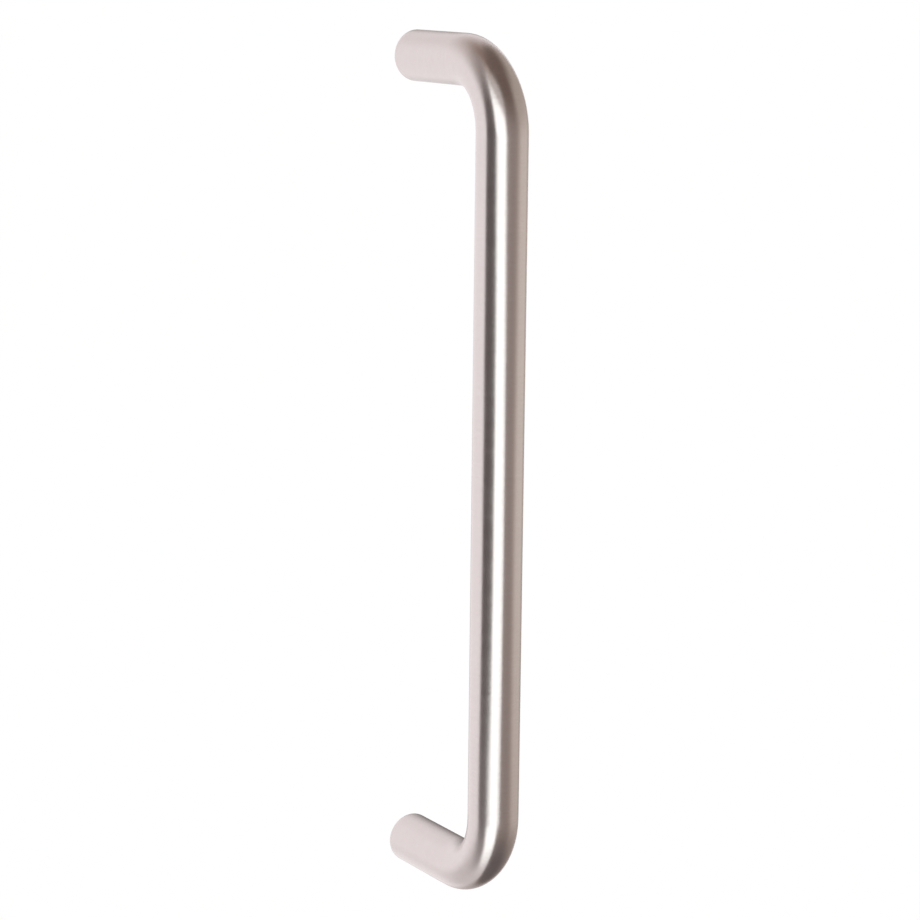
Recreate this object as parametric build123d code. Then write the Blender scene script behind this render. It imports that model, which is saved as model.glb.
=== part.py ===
from build123d import *
import os
from math import cos, pi

# Door pull handle: a steel tube bent into a D, with a threaded plug in each open end.
# The door face is the plane Y = 0, the handle stands out towards -Y and the grip runs along Z.
# The origin lies on the door face, midway between the two fixing holes. Sizes are in millimetres.

# Tube
tube_diameter = 19.05
tube_wall = 1.65
end_rim_radius = 1.0

# Layout of the D
fixing_centres = 304.8
hand_clearance = 50.8
bend_radius = 25.4

# Flattening that the bending leaves: most at the middle of a bend, none at its ends
bend_flat_outside = 0.7
bend_flat_inside = 0.5
bend_sections = 9

# Threaded plugs, each flush with the end of its arm
plug_length = 16.0
plug_fit_gap = 0.05
plug_lead_chamfer = 1.0
thread_drill = 6.53
thread_mouth_chamfer = 0.4

# Sizes that follow
tube_radius = tube_diameter / 2
bore_radius = tube_radius - tube_wall
grip_axis = hand_clearance + tube_radius
arm_height = fixing_centres / 2
bend_half_arc = bend_radius * pi / 4
mid_bend = grip_axis - bend_radius + bend_half_arc

# Centreline of the upper half, from the door face round the bend to the middle of the grip
centreline = FilletPolyline(
    (0, 0, arm_height),
    (0, -grip_axis, arm_height),
    (0, -grip_axis, 0),
    radius=bend_radius,
)


def cut_plane(distance):
    """Plane across the centreline, that far from the door face, with its y axis to the outside of the bend."""
    here = centreline.position_at(distance, position_mode=PositionMode.LENGTH)
    ahead = centreline.tangent_at(distance, position_mode=PositionMode.LENGTH)
    return Plane(origin=here, x_dir=(1, 0, 0), z_dir=ahead)


def cross_section(distance, radius):
    """Section of the tube, or of its bore, at that distance: a circle that the bend flattens to an ellipse."""
    from_mid_bend = abs(distance - mid_bend)
    amount = cos(pi / 2 * min(from_mid_bend / bend_half_arc, 1)) ** 2
    outside = radius - amount * bend_flat_outside
    inside = radius - amount * bend_flat_inside
    return cut_plane(distance) * Pos(0, (outside - inside) / 2) * Ellipse(radius, (outside + inside) / 2)


def straight(start, end, radius):
    """Round length of the tube, or of its bore, between two distances on a straight."""
    return extrude(cut_plane(start) * Circle(radius), amount=end - start)


def half_d(radius):
    """Solid upper half of the D: arm, bend and half the grip."""
    bend_start = mid_bend - bend_half_arc
    bend_end = mid_bend + bend_half_arc
    step = (bend_end - bend_start) / (bend_sections - 1)
    bend = loft([cross_section(bend_start + step * i, radius) for i in range(bend_sections)])
    return straight(0, bend_start, radius) + bend + straight(bend_end, centreline.length, radius)


def full_d(radius):
    """Solid D, the upper half and its mirror image."""
    upper = half_d(radius)
    return upper + mirror(upper, about=Plane.XY)


def make_grip_tube():
    """Hollow tube with its open ends rounded where they meet the door."""
    tube = full_d(tube_radius) - full_d(bore_radius)
    end_circles = tube.edges().filter_by(GeomType.CIRCLE).group_by(Axis.Y)[-1]
    outer_rims = end_circles.sort_by(SortBy.RADIUS)[-2:]
    return fillet(outer_rims, end_rim_radius)


def make_thread_plug(height):
    """Plug that fills the end of an arm at that height, drilled through at the tapping size."""
    door_face = Plane(origin=(0, 0, height), x_dir=(1, 0, 0), z_dir=(0, -1, 0))
    plug = extrude(door_face * Circle(bore_radius - plug_fit_gap), amount=plug_length)
    plug = chamfer(plug.edges().group_by(Axis.Y)[0], plug_lead_chamfer)
    plug -= extrude(door_face * Circle(thread_drill / 2), amount=plug_length)
    thread_mouth = plug.edges().group_by(Axis.Y)[-1].sort_by(SortBy.RADIUS)[0]
    return chamfer(thread_mouth, thread_mouth_chamfer)


nodes = {
    "grip_tube": make_grip_tube(),
    "upper_thread_plug": make_thread_plug(arm_height),
    "lower_thread_plug": make_thread_plug(-arm_height),
}

os.makedirs("parts", exist_ok=True)
for name, solid in nodes.items():
    solid.label = name
    export_step(solid, f"parts/{name}.step")
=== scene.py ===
from math import cos, pi, radians, sin, tau

import bmesh
import bpy
import numpy as np
from mathutils import Matrix, Vector


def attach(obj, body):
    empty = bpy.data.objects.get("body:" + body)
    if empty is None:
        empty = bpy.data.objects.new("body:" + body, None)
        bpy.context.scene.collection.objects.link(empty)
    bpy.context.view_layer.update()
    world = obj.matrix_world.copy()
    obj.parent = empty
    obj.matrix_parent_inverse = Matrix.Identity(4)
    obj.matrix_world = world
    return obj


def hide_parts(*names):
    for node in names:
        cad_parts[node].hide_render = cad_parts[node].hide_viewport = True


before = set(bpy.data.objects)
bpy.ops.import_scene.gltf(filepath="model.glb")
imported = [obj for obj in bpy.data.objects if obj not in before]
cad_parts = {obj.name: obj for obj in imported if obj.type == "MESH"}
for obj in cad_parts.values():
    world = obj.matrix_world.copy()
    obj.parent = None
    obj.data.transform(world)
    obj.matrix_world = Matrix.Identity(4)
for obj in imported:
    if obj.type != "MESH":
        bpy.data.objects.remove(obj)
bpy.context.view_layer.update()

# Door pull handle: a satin steel tube bent into a D, with a threaded plug in each open end.
# The door face is the plane Y = 0, the handle stands out towards -Y and the grip runs along Z.
# Sizes are in metres and angles in degrees.

# Tube
TUBE_RADIUS = 0.009525
TUBE_WALL = 0.00165
END_RIM_RADIUS = 0.001
BORE_RADIUS = TUBE_RADIUS - TUBE_WALL

# Layout of the D
ARM_HEIGHT = 0.1524
GRIP_AXIS = 0.060325
BEND_RADIUS = 0.0254
BEND_FLAT_OUTSIDE = 0.0007
BEND_FLAT_INSIDE = 0.0005
SIDE_OF_THE_D = (1.0, 0.0, 0.0)

# Threaded plugs; the flats at the thread's crest and root are shares of its pitch
PLUG_LENGTH = 0.016
PLUG_FIT_GAP = 0.00005
PLUG_RADIUS = BORE_RADIUS - PLUG_FIT_GAP
PLUG_LEAD_CHAMFER = 0.001
THREAD_DRILL_RADIUS = 0.003265
THREAD_MOUTH_CHAMFER = 0.0004
THREAD_PITCH = 0.0014111
THREAD_DEPTH = 0.000704
THREAD_CREST_FLAT = 0.25
THREAD_ROOT_FLAT = 0.125

# Fineness of the meshes
TUBE_STEP = 0.0016
TUBE_SEGMENTS = 96
BEND_POINTS = 64
RIM_POINTS = 6
THREAD_STEPS_PER_TURN = 12
PLUG_SEGMENTS = 64
WELD_DISTANCE = 0.000002
SHARP_ANGLE = 35.0
EVERYWHERE = 1.0

# Satin finish: how often its patterns change in a metre, along the tube and in both ways across it
FINE_LINES_PER_METRE = (5200.0, 60.0, 60.0)
HAIR_LINES_PER_METRE = (1400.0, 400.0, 400.0)
SOFT_PATCHES_PER_METRE = (260.0, 45.0, 45.0)
SLOW_WAVES_PER_METRE = (34.0, 34.0, 34.0)

# Satin finish: relief, colours and gloss
SATIN_LINE_STRENGTH = 0.14
SATIN_LINE_DEPTH = 0.0001
SATIN_WAVE_STRENGTH = 1.0
SATIN_WAVE_DEPTH = 0.00015
SATIN_DARK = (0.64, 0.600, 0.575)
SATIN_LIGHT = (0.76, 0.716, 0.689)
SATIN_SMOOTHEST = 0.215
SATIN_ROUGHEST = 0.245
SATIN_STRETCH = 0.35

# Turned finish: how often its rings change in a metre, along the plug, out from its axis and round it
RINGS_PER_METRE = (2200.0, 2200.0, 0.0)

# Turned finish: relief, colours and gloss
RING_STRENGTH = 0.4
RING_DEPTH = 0.0001
TURNED_DARK = (0.57, 0.54, 0.51)
TURNED_LIGHT = (0.66, 0.63, 0.60)
TURNED_ROUGHNESS = 0.3

# Range that most of a random pattern lies in
PATTERN_LOW = 0.3
PATTERN_HIGH = 0.7

# Names of the fields that the meshes carry for their materials
STRAIGHT_PLACE = "straight_place"
TUBE_RUN = "tube_run"
CARD_PLACE = "card_place"

# Viewpoint: bearing and height of the camera, its roll, and where it stands
VIEW_BEARING = -32.0
VIEW_HEIGHT = 10.96
VIEW_ROLL = 0.625
VIEW_DISTANCE = 1.0193
VIEW_SLIDE_RIGHT = 0.00222
VIEW_SLIDE_UP = 0.003705
LENS_MM = 106.58
SENSOR_MM = 36.0

# Studio
HANDLE_MIDDLE = Vector((0.0, -GRIP_AXIS / 2, 0.0))
WHITE = (1.0, 1.0, 1.0, 1.0)
FLOOR_DROP = 1.1
FLOOR_SIZE = 60.0
CARD_ROWS = 48
CARD_COLUMNS = 48
HARD_EDGE = 0.001

scene = bpy.context.scene
scene.view_settings.view_transform = "Standard"


# Node helpers

# Places of the colour sockets on a Mix node
FIRST_COLOUR = 6
SECOND_COLOUR = 7
MIXED_COLOUR = 2


def add_node(tree, kind, inputs=(), **settings):
    """Adds a node, applies its settings, and sets or links the inputs that are given by name or place."""
    node = tree.nodes.new(kind)
    for name, value in settings.items():
        setattr(node, name, value)
    for place, value in dict(inputs).items():
        socket = node.inputs[place]
        if isinstance(value, bpy.types.NodeSocket):
            tree.links.new(value, socket)
        else:
            socket.default_value = value
    return node


def maths(tree, operation, *values):
    """One sum on numbers."""
    return add_node(tree, "ShaderNodeMath", enumerate(values), operation=operation).outputs[0]


def vector_maths(tree, operation, *values):
    """One sum on vectors."""
    return add_node(tree, "ShaderNodeVectorMath", enumerate(values), operation=operation).outputs["Vector"]


def scaled(tree, vector, factor):
    """A vector times a number."""
    inputs = {"Vector": vector, "Scale": factor}
    return add_node(tree, "ShaderNodeVectorMath", inputs, operation="SCALE").outputs["Vector"]


def joined(tree, x, y, z):
    """A vector from three numbers."""
    return add_node(tree, "ShaderNodeCombineXYZ", {"X": x, "Y": y, "Z": z}).outputs[0]


def split(tree, vector):
    """The three numbers of a vector."""
    return add_node(tree, "ShaderNodeSeparateXYZ", {"Vector": vector}).outputs[:]


def mixed_colour(tree, share, first, second):
    """A blend of two plain colours."""
    node = add_node(tree, "ShaderNodeMix", {
        "Factor": share, FIRST_COLOUR: (*first, 1.0), SECOND_COLOUR: (*second, 1.0),
    }, data_type="RGBA")
    return node.outputs[MIXED_COLOUR]


def read_field(tree, name):
    """The vector field that a mesh carries under that name."""
    return add_node(tree, "ShaderNodeAttribute", attribute_name=name).outputs["Vector"]


def random_pattern(tree, place, per_metre, detail):
    """A soft random pattern that changes so often in a metre along each axis of the place."""
    pattern_place = vector_maths(tree, "MULTIPLY", place, per_metre)
    return add_node(tree, "ShaderNodeTexNoise", {
        "Vector": pattern_place, "Scale": 1.0, "Detail": detail,
    }).outputs["Fac"]


# Materials

def new_material(name):
    """An empty node material with its output node."""
    material = bpy.data.materials.new(name)
    material.use_nodes = True
    material.node_tree.nodes.clear()
    output = material.node_tree.nodes.new("ShaderNodeOutputMaterial")
    return material, material.node_tree, output


def satin_steel_material():
    """Satin stainless steel: slightly wavy, with fine lines round the tube that blur what it mirrors."""
    material, tree, output = new_material("satin_steel")
    place = read_field(tree, STRAIGHT_PLACE)
    fine_lines = random_pattern(tree, place, FINE_LINES_PER_METRE, detail=2.0)
    hair_lines = random_pattern(tree, place, HAIR_LINES_PER_METRE, detail=2.0)
    soft_patches = random_pattern(tree, place, SOFT_PATCHES_PER_METRE, detail=3.0)
    slow_waves = random_pattern(tree, place, SLOW_WAVES_PER_METRE, detail=1.0)
    lines = maths(tree, "ADD", fine_lines, hair_lines)
    tint = mixed_colour(tree, maths(tree, "MULTIPLY", lines, 0.5), SATIN_DARK, SATIN_LIGHT)
    roughness = add_node(tree, "ShaderNodeMapRange", {
        "Value": soft_patches,
        "From Min": PATTERN_LOW, "From Max": PATTERN_HIGH,
        "To Min": SATIN_SMOOTHEST, "To Max": SATIN_ROUGHEST,
    })
    waves = add_node(tree, "ShaderNodeBump", {
        "Height": slow_waves, "Strength": SATIN_WAVE_STRENGTH, "Distance": SATIN_WAVE_DEPTH,
    })
    grain = add_node(tree, "ShaderNodeBump", {
        "Height": lines, "Strength": SATIN_LINE_STRENGTH, "Distance": SATIN_LINE_DEPTH,
        "Normal": waves.outputs[0],
    })
    steel = add_node(tree, "ShaderNodeBsdfPrincipled", {
        "Base Color": tint,
        "Metallic": 1.0,
        "Roughness": roughness.outputs[0],
        "Anisotropic": SATIN_STRETCH,
        "Normal": grain.outputs[0],
        "Tangent": read_field(tree, TUBE_RUN),
    })
    tree.links.new(steel.outputs[0], output.inputs["Surface"])
    return material


def turned_steel_material():
    """Lathe-turned steel: fine rings about the plug's own axis."""
    material, tree, output = new_material("turned_steel")
    along, across, up = split(tree, read_field(tree, STRAIGHT_PLACE))
    across_squared = maths(tree, "POWER", across, 2.0)
    up_squared = maths(tree, "POWER", up, 2.0)
    from_axis = maths(tree, "SQRT", maths(tree, "ADD", across_squared, up_squared))
    rings = random_pattern(tree, joined(tree, along, from_axis, 0.0), RINGS_PER_METRE, detail=2.0)
    grooves = add_node(tree, "ShaderNodeBump", {
        "Height": rings, "Strength": RING_STRENGTH, "Distance": RING_DEPTH,
    })
    steel = add_node(tree, "ShaderNodeBsdfPrincipled", {
        "Base Color": mixed_colour(tree, rings, TURNED_DARK, TURNED_LIGHT),
        "Metallic": 1.0,
        "Roughness": TURNED_ROUGHNESS,
        "Normal": grooves.outputs[0],
    })
    tree.links.new(steel.outputs[0], output.inputs["Surface"])
    return material


# Shapes

def new_shape_tree(name, sizes):
    """A shape tree that takes a geometry, named sizes and a material; gives the tree and its inputs."""
    tree = bpy.data.node_groups.new(name, "GeometryNodeTree")
    tree.interface.new_socket("Geometry", in_out="INPUT", socket_type="NodeSocketGeometry")
    for size in sizes:
        kind = "NodeSocketInt" if isinstance(sizes[size], int) else "NodeSocketFloat"
        tree.interface.new_socket(size, in_out="INPUT", socket_type=kind)
    tree.interface.new_socket("Material", in_out="INPUT", socket_type="NodeSocketMaterial")
    tree.interface.new_socket("Geometry", in_out="OUTPUT", socket_type="NodeSocketGeometry")
    return tree, tree.nodes.new("NodeGroupInput").outputs


def cut_lengthwise(tree, outline, step, where):
    """Cuts the sides of a closed outline into steps along its X axis, where the field says so."""
    index = add_node(tree, "GeometryNodeInputIndex").outputs[0]
    position = add_node(tree, "GeometryNodeInputPosition").outputs[0]
    following = add_node(tree, "GeometryNodeOffsetPointInCurve", {
        "Point Index": index, "Offset": 1,
    }).outputs["Point Index"]
    ahead = add_node(tree, "GeometryNodeFieldAtIndex", {
        "Index": following, "Value": position,
    }, data_type="FLOAT_VECTOR", domain="POINT").outputs[0]
    run = maths(tree, "SUBTRACT", split(tree, ahead)[0], split(tree, position)[0])
    length = maths(tree, "ABSOLUTE", run)
    cuts = maths(tree, "MULTIPLY", maths(tree, "FLOOR", maths(tree, "DIVIDE", length, step)), where)
    return add_node(tree, "GeometryNodeSubdivideCurve", {"Curve": outline, "Cuts": cuts}).outputs[0]


def turned_skin(tree, outline, segments):
    """A grid for an outline (distance along, radius) turned about its axis; gives it and its fields."""
    count = add_node(tree, "GeometryNodeAttributeDomainSize", {
        "Geometry": outline,
    }, component="CURVE").outputs["Point Count"]
    columns = maths(tree, "ADD", segments, 1.0)
    grid = add_node(tree, "GeometryNodeMeshGrid", {
        "Vertices X": maths(tree, "ADD", count, 1.0), "Vertices Y": columns,
    }).outputs["Mesh"]
    index = add_node(tree, "GeometryNodeInputIndex").outputs[0]
    # The added half keeps the row clear of rounding
    row = maths(tree, "FLOOR", maths(tree, "DIVIDE", maths(tree, "ADD", index, 0.5), columns))
    column = maths(tree, "SUBTRACT", index, maths(tree, "MULTIPLY", row, columns))
    outline_point = maths(tree, "FLOORED_MODULO", row, count)
    position = add_node(tree, "GeometryNodeInputPosition").outputs[0]
    sample = add_node(tree, "GeometryNodeSampleIndex", {
        "Geometry": outline, "Value": position, "Index": outline_point,
    }, data_type="FLOAT_VECTOR", domain="POINT").outputs[0]
    along, radius, _ = split(tree, sample)
    angle = maths(tree, "DIVIDE", maths(tree, "MULTIPLY", column, tau), segments)
    return grid, along, radius, angle


def keep_field(tree, geometry, name, value):
    """Stores a vector field on the points under a name that the materials read."""
    return add_node(tree, "GeometryNodeStoreNamedAttribute", {
        "Geometry": geometry, "Name": name, "Value": value,
    }, data_type="FLOAT_VECTOR", domain="POINT").outputs[0]


def finish_tree(tree, geometry, material):
    """Welds the seams, shades smooth, realizes and gives the material."""
    welded = add_node(tree, "GeometryNodeMergeByDistance", {
        "Geometry": geometry, "Distance": WELD_DISTANCE,
    }).outputs[0]
    smooth = add_node(tree, "GeometryNodeSetShadeSmooth", {"Geometry": welded}).outputs[0]
    realized = add_node(tree, "GeometryNodeRealizeInstances", {"Geometry": smooth}).outputs[0]
    coated = add_node(tree, "GeometryNodeSetMaterial", {
        "Geometry": realized, "Material": material,
    }).outputs[0]
    add_node(tree, "NodeGroupOutput", {"Geometry": coated})


def tube_wall(tree, given, length):
    """Outline (distance along, radius) of the straight tube's wall, with its outer rims rounded."""
    bore = maths(tree, "SUBTRACT", given["Tube Radius"], given["Tube Wall"])
    wall = add_node(tree, "GeometryNodeCurvePrimitiveQuadrilateral", {
        "Point 1": joined(tree, 0.0, bore, 0.0),
        "Point 2": joined(tree, 0.0, given["Tube Radius"], 0.0),
        "Point 3": joined(tree, length, given["Tube Radius"], 0.0),
        "Point 4": joined(tree, length, bore, 0.0),
    }, mode="POINTS").outputs[0]
    position = add_node(tree, "GeometryNodeInputPosition").outputs[0]
    mid_wall = maths(tree, "MULTIPLY", maths(tree, "ADD", bore, given["Tube Radius"]), 0.5)
    on_outside = maths(tree, "GREATER_THAN", split(tree, position)[1], mid_wall)
    rounded = add_node(tree, "GeometryNodeFilletCurve", {
        "Curve": wall, "Count": given["Rim Points"],
        "Radius": maths(tree, "MULTIPLY", given["End Rim Radius"], on_outside),
    }, mode="POLY").outputs[0]
    return cut_lengthwise(tree, rounded, given["Tube Step"], EVERYWHERE)


def bend_flattening(tree, given, length, along, angle):
    """How far the skin is pressed in: most in the middle of a bend, and nothing on the straight runs."""
    half_arc = maths(tree, "MULTIPLY", given["Bend Radius"], pi / 4)
    straight_arm = maths(tree, "SUBTRACT", given["Grip Axis"], given["Bend Radius"])
    mid_bend = maths(tree, "ADD", straight_arm, half_arc)
    from_end = maths(tree, "MINIMUM", along, maths(tree, "SUBTRACT", length, along))
    from_mid_bend = maths(tree, "ABSOLUTE", maths(tree, "SUBTRACT", from_end, mid_bend))
    share = maths(tree, "MINIMUM", maths(tree, "DIVIDE", from_mid_bend, half_arc), 1.0)
    amount = maths(tree, "POWER", maths(tree, "COSINE", maths(tree, "MULTIPLY", share, pi / 2)), 2.0)
    flat_difference = maths(tree, "SUBTRACT", given["Flat Outside"], given["Flat Inside"])
    flat_total = maths(tree, "ADD", given["Flat Outside"], given["Flat Inside"])
    shift = maths(tree, "MULTIPLY", flat_difference, 0.5)
    squash = maths(tree, "MULTIPLY", flat_total, 0.5)
    loss = maths(tree, "ADD", shift, maths(tree, "MULTIPLY", squash, maths(tree, "SINE", angle)))
    return maths(tree, "MULTIPLY", amount, loss)


def bent_tube_tree(sizes):
    """Tube wall turned straight, then laid along a rounded centreline and flattened in the bends."""
    tree, given = new_shape_tree("bent_tube", sizes)
    corners = add_node(tree, "GeometryNodeMeshToCurve", {"Mesh": given["Geometry"]}).outputs[0]
    centreline = add_node(tree, "GeometryNodeFilletCurve", {
        "Curve": corners, "Count": given["Bend Points"], "Radius": given["Bend Radius"],
    }, mode="POLY").outputs[0]
    length = add_node(tree, "GeometryNodeCurveLength", {"Curve": centreline}).outputs[0]
    wall = tube_wall(tree, given, length)
    grid, along, radius, angle = turned_skin(tree, wall, given["Segments"])
    sideways = maths(tree, "MULTIPLY", radius, maths(tree, "COSINE", angle))
    outward = maths(tree, "MULTIPLY", radius, maths(tree, "SINE", angle))
    height = maths(tree, "SUBTRACT", outward, bend_flattening(tree, given, length, along, angle))

    on_line = add_node(tree, "GeometryNodeSampleCurve", {
        "Curves": centreline, "Length": along,
    }, mode="LENGTH")
    run = on_line.outputs["Tangent"]
    outside_way = vector_maths(tree, "CROSS_PRODUCT", run, SIDE_OF_THE_D)
    offset = vector_maths(tree, "ADD", joined(tree, sideways, 0.0, 0.0), scaled(tree, outside_way, height))
    place = vector_maths(tree, "ADD", on_line.outputs["Position"], offset)

    marked = keep_field(tree, grid, STRAIGHT_PLACE, joined(tree, along, sideways, outward))
    marked = keep_field(tree, marked, TUBE_RUN, run)
    laid = add_node(tree, "GeometryNodeSetPosition", {"Geometry": marked, "Position": place}).outputs[0]
    finish_tree(tree, laid, given["Material"])
    return tree


def thread_cut(tree, given, along, angle):
    """Depth of a right-hand thread there, from nothing at its crests to the full depth at its roots."""
    pitches_along = maths(tree, "DIVIDE", along, given["Thread Pitch"])
    turns = maths(tree, "SUBTRACT", pitches_along, maths(tree, "DIVIDE", angle, tau))
    in_turn = maths(tree, "FRACT", turns)
    ridge = maths(tree, "ABSOLUTE", maths(tree, "SUBTRACT", maths(tree, "MULTIPLY", in_turn, 2.0), 1.0))
    return add_node(tree, "ShaderNodeMapRange", {
        "Value": maths(tree, "SUBTRACT", 1.0, ridge),
        "From Min": THREAD_CREST_FLAT, "From Max": 1.0 - THREAD_ROOT_FLAT,
        "To Min": 0.0, "To Max": given["Thread Depth"],
    }).outputs[0]


def thread_plug_tree(sizes):
    """Plug outline turned about the fixing hole's axis, with a thread cut into its hole."""
    tree, given = new_shape_tree("thread_plug", sizes)
    outline = add_node(tree, "GeometryNodeMeshToCurve", {"Mesh": given["Geometry"]}).outputs[0]
    position = add_node(tree, "GeometryNodeInputPosition").outputs[0]
    in_hole = maths(tree, "LESS_THAN", split(tree, position)[1], given["Hole Limit"])
    step = maths(tree, "DIVIDE", given["Thread Pitch"], given["Steps Per Turn"])
    stepped = cut_lengthwise(tree, outline, step, in_hole)
    grid, along, radius, angle = turned_skin(tree, stepped, given["Segments"])

    thread_radius = maths(tree, "ADD", given["Drill Radius"], thread_cut(tree, given, along, angle))
    hole_side = maths(tree, "LESS_THAN", radius, given["Hole Limit"])
    cut_radius = maths(tree, "MAXIMUM", radius, maths(tree, "MULTIPLY", thread_radius, hole_side))
    sideways = maths(tree, "MULTIPLY", cut_radius, maths(tree, "COSINE", angle))
    upward = maths(tree, "MULTIPLY", cut_radius, maths(tree, "SINE", angle))
    out_from_door = maths(tree, "MULTIPLY", along, -1.0)
    place = joined(tree, sideways, out_from_door, maths(tree, "ADD", upward, given["Height"]))

    marked = keep_field(tree, grid, STRAIGHT_PLACE, joined(tree, along, sideways, upward))
    laid = add_node(tree, "GeometryNodeSetPosition", {"Geometry": marked, "Position": place}).outputs[0]
    finish_tree(tree, laid, given["Material"])
    return tree


def make_piece(name, tree, start_points, start_edges, sizes, material):
    """Runs a tree on a start outline and keeps the result as a plain closed mesh."""
    start = bpy.data.meshes.new(name + "_start")
    start.from_pydata(start_points, start_edges, [])
    maker = bpy.data.objects.new(name + "_maker", start)
    scene.collection.objects.link(maker)
    modifier = maker.modifiers.new("shape", "NODES")
    modifier.node_group = tree
    values = dict(sizes, Material=material)
    for socket in tree.interface.items_tree:
        if socket.in_out == "INPUT" and socket.name in values:
            modifier[socket.identifier] = values[socket.name]
    mesh = bpy.data.meshes.new_from_object(maker.evaluated_get(bpy.context.evaluated_depsgraph_get()))
    maker.modifiers.remove(modifier)
    bpy.data.objects.remove(maker)

    work = bmesh.new()
    work.from_mesh(mesh)
    bmesh.ops.recalc_face_normals(work, faces=work.faces)
    work.to_mesh(mesh)
    work.free()
    mesh.set_sharp_from_angle(angle=radians(SHARP_ANGLE))
    mesh.name = name
    piece = bpy.data.objects.new(name, mesh)
    scene.collection.objects.link(piece)
    return piece


def closed_edges(count):
    """Edges of a closed outline of that many points."""
    return [(i, (i + 1) % count) for i in range(count)]


def make_tube():
    """The grip tube with its two arms."""
    sizes = {
        "Tube Radius": TUBE_RADIUS, "Tube Wall": TUBE_WALL, "End Rim Radius": END_RIM_RADIUS,
        "Grip Axis": GRIP_AXIS, "Bend Radius": BEND_RADIUS,
        "Flat Outside": BEND_FLAT_OUTSIDE, "Flat Inside": BEND_FLAT_INSIDE,
        "Tube Step": TUBE_STEP, "Segments": TUBE_SEGMENTS,
        "Bend Points": BEND_POINTS, "Rim Points": RIM_POINTS,
    }
    corners = [
        (0.0, 0.0, ARM_HEIGHT), (0.0, -GRIP_AXIS, ARM_HEIGHT),
        (0.0, -GRIP_AXIS, -ARM_HEIGHT), (0.0, 0.0, -ARM_HEIGHT),
    ]
    edges = [(0, 1), (1, 2), (2, 3)]
    return make_piece("satin_tube", bent_tube_tree(sizes), corners, edges, sizes, satin_steel_material())


def make_plugs():
    """The upper and the lower thread plug."""
    outline = [
        (0.0, THREAD_DRILL_RADIUS + THREAD_MOUTH_CHAMFER, 0.0),
        (0.0, PLUG_RADIUS, 0.0),
        (PLUG_LENGTH - PLUG_LEAD_CHAMFER, PLUG_RADIUS, 0.0),
        (PLUG_LENGTH, PLUG_RADIUS - PLUG_LEAD_CHAMFER, 0.0),
        (PLUG_LENGTH, THREAD_DRILL_RADIUS, 0.0),
        (THREAD_MOUTH_CHAMFER, THREAD_DRILL_RADIUS, 0.0),
    ]
    sizes = {
        "Drill Radius": THREAD_DRILL_RADIUS, "Thread Pitch": THREAD_PITCH, "Thread Depth": THREAD_DEPTH,
        "Hole Limit": (THREAD_DRILL_RADIUS + PLUG_RADIUS) / 2, "Height": 0.0,
        "Steps Per Turn": THREAD_STEPS_PER_TURN, "Segments": PLUG_SEGMENTS,
    }
    edges = closed_edges(len(outline))
    tree = thread_plug_tree(sizes)
    material = turned_steel_material()
    plugs = {}
    for name, height in {"upper": ARM_HEIGHT, "lower": -ARM_HEIGHT}.items():
        placed_sizes = dict(sizes, Height=height)
        plugs[name] = make_piece(name + "_turned_plug", tree, outline, edges, placed_sizes, material)
    return plugs


# Studio

def view_way(turn, height):
    """Direction from the handle, turned to the right of the camera's bearing and raised."""
    bearing, height = radians(VIEW_BEARING + turn), radians(height)
    return Vector((sin(bearing) * cos(height), -cos(bearing) * cos(height), sin(height)))


def view_axes():
    """The camera's right, up and backward directions."""
    bearing, roll = radians(VIEW_BEARING), radians(VIEW_ROLL)
    back = view_way(0.0, VIEW_HEIGHT)
    level_right = Vector((cos(bearing), sin(bearing), 0.0))
    level_up = back.cross(level_right)
    right = cos(roll) * level_right + sin(roll) * level_up
    up = cos(roll) * level_up - sin(roll) * level_right
    return right, up, back


def place_camera():
    """Camera at the photograph's viewing angle."""
    right, up, back = view_axes()
    camera_data = bpy.data.cameras.new("camera")
    camera_data.lens = LENS_MM
    camera_data.sensor_width = SENSOR_MM
    camera = bpy.data.objects.new("camera", camera_data)
    turned = Matrix((right, up, back)).transposed().to_4x4()
    turned.translation = HANDLE_MIDDLE + VIEW_SLIDE_RIGHT * right + VIEW_SLIDE_UP * up + VIEW_DISTANCE * back
    camera.matrix_world = turned
    scene.collection.objects.link(camera)
    scene.camera = camera


def white_world():
    """Even white light from all round."""
    world = bpy.data.worlds.new("white_world")
    world.use_nodes = True
    background = world.node_tree.nodes["Background"]
    background.inputs["Color"].default_value = WHITE
    background.inputs["Strength"].default_value = 1.0
    scene.world = world


def white_floor():
    """Plain white floor, as far below the handle as a door pull hangs."""
    material, tree, output = new_material("white_floor")
    paint = add_node(tree, "ShaderNodeBsdfDiffuse", {"Color": WHITE})
    tree.links.new(paint.outputs[0], output.inputs["Surface"])
    half = FLOOR_SIZE / 2
    corners = [(x, y, -FLOOR_DROP) for x, y in ((-half, -half), (half, -half), (half, half), (-half, half))]
    mesh = bpy.data.meshes.new("floor")
    mesh.from_pydata(corners, [], [(0, 1, 2, 3)])
    mesh.materials.append(material)
    floor = bpy.data.objects.new("floor", mesh)
    scene.collection.objects.link(floor)
    return floor


def card_glow(name, colour, softness):
    """Light of a card in one colour, which fades out towards its left, right, lower and upper edges."""
    material, tree, output = new_material(name)
    across, up, _ = split(tree, read_field(tree, CARD_PLACE))
    to_right = maths(tree, "SUBTRACT", 1.0, across)
    to_top = maths(tree, "SUBTRACT", 1.0, up)
    opacity = 1.0
    for to_edge, soft in zip((across, to_right, up, to_top), softness):
        fade = add_node(tree, "ShaderNodeMapRange", {
            "Value": to_edge, "From Max": max(soft, HARD_EDGE),
        }, interpolation_type="SMOOTHSTEP").outputs[0]
        opacity = maths(tree, "MULTIPLY", opacity, fade)
    light = add_node(tree, "ShaderNodeEmission", {"Color": (*colour, 1.0), "Strength": 1.0})
    clear = add_node(tree, "ShaderNodeBsdfTransparent")
    card = add_node(tree, "ShaderNodeMixShader", {0: opacity, 1: clear.outputs[0], 2: light.outputs[0]})
    tree.links.new(card.outputs[0], output.inputs["Surface"])
    return material


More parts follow.
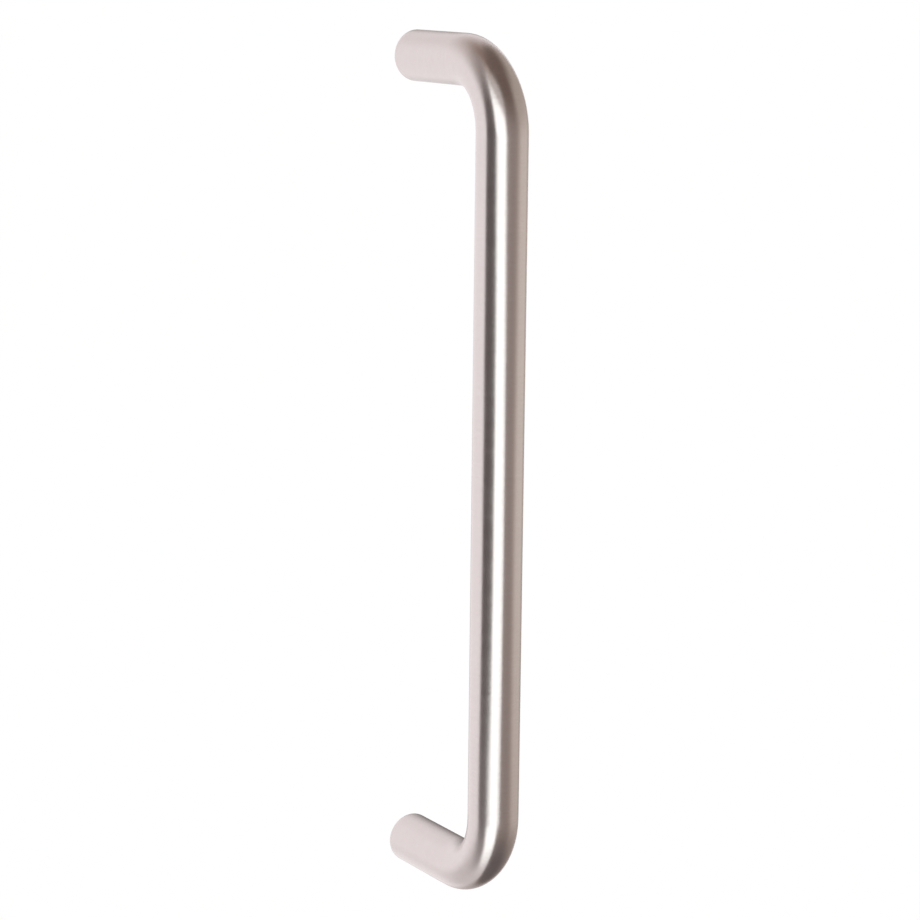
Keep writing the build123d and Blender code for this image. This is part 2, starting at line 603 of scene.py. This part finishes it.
def studio_card(name, distance, colour, softness, outline):
    """Curved card that the steel mirrors; its outline goes upward in rows of height, left and right edge.

    The edges are turns to the right of the camera's bearing. The softness of the left, right, lower and
    upper edges is a share of the card's width or height.
    """
    heights, lefts, rights = zip(*outline)
    row_length = CARD_COLUMNS + 1
    points, places, faces = [], [], []
    for j in range(CARD_ROWS + 1):
        up = j / CARD_ROWS
        height = heights[0] + up * (heights[-1] - heights[0])
        left, right = np.interp(height, heights, lefts), np.interp(height, heights, rights)
        for i in range(row_length):
            across = i / CARD_COLUMNS
            way = view_way(left + across * (right - left), height)
            points.append(HANDLE_MIDDLE + distance * way)
            places += [across, up, 0.0]
    for j in range(CARD_ROWS):
        for i in range(CARD_COLUMNS):
            corner = j * row_length + i
            faces.append((corner, corner + 1, corner + row_length + 1, corner + row_length))
    mesh = bpy.data.meshes.new(name)
    mesh.from_pydata(points, [], faces)
    mesh.attributes.new(CARD_PLACE, "FLOAT_VECTOR", "POINT").data.foreach_set("vector", places)
    mesh.materials.append(card_glow(name, colour, softness))
    card = bpy.data.objects.new(name, mesh)
    scene.collection.objects.link(card)
    card.visible_camera = False
    card.visible_diffuse = False
    card.visible_shadow = False
    return card


def make_cards():
    """White light from the left and the front with a dark flag between them, and warm walls to the right.

    A nearer card covers a farther one. The last two stand close behind the arms.
    """
    return [
        studio_card(
            "left_wall", distance=1.06, colour=(1.05, 1.0, 1.03), softness=(0.0, 0.2, 0.0, 0.0),
            outline=[(-90, -200, -20), (90, -200, -20)],
        ),
        studio_card(
            "ceiling", distance=1.05, colour=(0.45, 0.36, 0.33), softness=(0.0, 0.0, 0.91, 0.0),
            outline=[(20, -180, 180), (90, -180, 180)],
        ),
        studio_card(
            "ceiling_top", distance=1.04, colour=(0.25, 0.17, 0.14), softness=(0.0, 0.0, 1.0, 0.0),
            outline=[(58, -180, 180), (90, -180, 180)],
        ),
        studio_card(
            "floor_shade", distance=1.03, colour=(0.73, 0.68, 0.69), softness=(0.25, 0.0, 0.0, 0.4),
            outline=[(-90, -190, 10), (-66, -190, 10), (-50, -144, 10), (-20, -130, 10)],
        ),
        studio_card(
            "rim_shade", distance=1.025, colour=(0.54, 0.48, 0.465), softness=(0.0, 0.45, 0.0, 0.35),
            outline=[(-84, 150, 222), (-62, 150, 211), (-30, 150, 195)],
        ),
        studio_card(
            "brown_wall", distance=1.02, colour=(0.175, 0.127, 0.110), softness=(0.02, 0.12, 0.0, 0.0),
            outline=[
                (-90, 4, 203), (-65, 9, 186), (-46, 14, 172), (-30, 16, 162), (30, 16, 161),
                (60, 10, 173), (76, -26, 184), (90, -50, 200),
            ],
        ),
        studio_card(
            "dark_floor", distance=1.01, colour=(0.140, 0.120, 0.120), softness=(0.1, 0.12, 0.0, 0.4),
            outline=[(-90, 4, 190), (-65, 11, 173), (-35, 21, 160)],
        ),
        studio_card(
            "warm_wall", distance=1.0, colour=(0.35, 0.29, 0.275), softness=(0.02, 0.15, 0.5, 0.45),
            outline=[(-74, 12, 163), (-30, 16, 162), (30, 16, 161), (55, 14, 162)],
        ),
        studio_card(
            "taupe_wall", distance=0.99, colour=(0.50, 0.43, 0.39), softness=(0.3, 0.22, 0.4, 0.22),
            outline=[(-64, 75, 168), (-40, 62, 170), (0, 52, 169), (30, 55, 170), (66, 76, 171)],
        ),
        studio_card(
            "taupe_glow", distance=0.98, colour=(0.75, 0.68, 0.64), softness=(0.35, 0.35, 0.5, 0.5),
            outline=[(-42, 78, 152), (-11, 66, 154), (30, 66, 150)],
        ),
        studio_card(
            "upper_fringe", distance=0.97, colour=(0.58, 0.525, 0.515), softness=(0.1, 0.2, 0.1, 0.48),
            outline=[(10, -30, 24), (44, -30, 26), (70, -30, 24)],
        ),
        studio_card(
            "front_softbox", distance=0.96, colour=(1.6, 1.64, 1.66), softness=(0.06, 0.07, 0.3, 0.22),
            outline=[
                (-90, -44, 4), (-60, -45, 12), (-46, -46, 17), (-29, -46, 20), (-22, -46, 31),
                (-11, -46, 33), (-5, -46, 28), (0, -46, 23), (6, -46, 19), (28, -46, 15.5),
                (37, -46, 1), (47, -45, -16.5), (62, -44, -26),
            ],
        ),
        studio_card(
            "upper_shade", distance=0.95, colour=(0.34, 0.29, 0.28), softness=(0.7, 0.15, 0.35, 0.1),
            outline=[(0, -84, -26), (20, -92, -27), (44, -104, -30), (60, -112, -35), (80, -130, -44)],
        ),
        studio_card(
            "lower_shade", distance=0.94, colour=(0.28, 0.25, 0.25), softness=(0.65, 0.22, 0.45, 0.3),
            outline=[(-78, -93, -46), (-62, -93, -33), (-46, -93, -25), (-29, -93, -24), (-16, -88, -19)],
        ),
        studio_card(
            "front_flag", distance=0.92, colour=(0.074, 0.055, 0.055), softness=(0.2, 0.15, 0.25, 0.45),
            outline=[
                (-46, -66, -42), (-29, -71, -29), (-23, -75, -13), (-17, -70, -9), (-11, -70, -8),
                (-5, -75, -10), (2, -76, -16), (10, -76, -23), (22, -71, -26), (44, -66, -32),
                (66, -57, -39),
            ],
        ),
        studio_card(
            "back_shade", distance=0.34, colour=(0.40, 0.365, 0.355), softness=(0.4, 0.4, 0.3, 0.5),
            outline=[(24, 160, 206), (54, 160, 206)],
        ),
        studio_card(
            "foot_shade", distance=0.32, colour=(0.15, 0.13, 0.128), softness=(0.35, 0.56, 0.17, 0.85),
            outline=[(-51, 140, 214), (31, 140, 214)],
        ),
    ]


# The handle

tube = make_tube()
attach(tube, "root")
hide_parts("grip_tube")
for side, plug in make_plugs().items():
    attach(plug, "root")
    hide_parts(side + "_thread_plug")

# The stage

place_camera()
white_world()
white_floor()
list(make_cards())
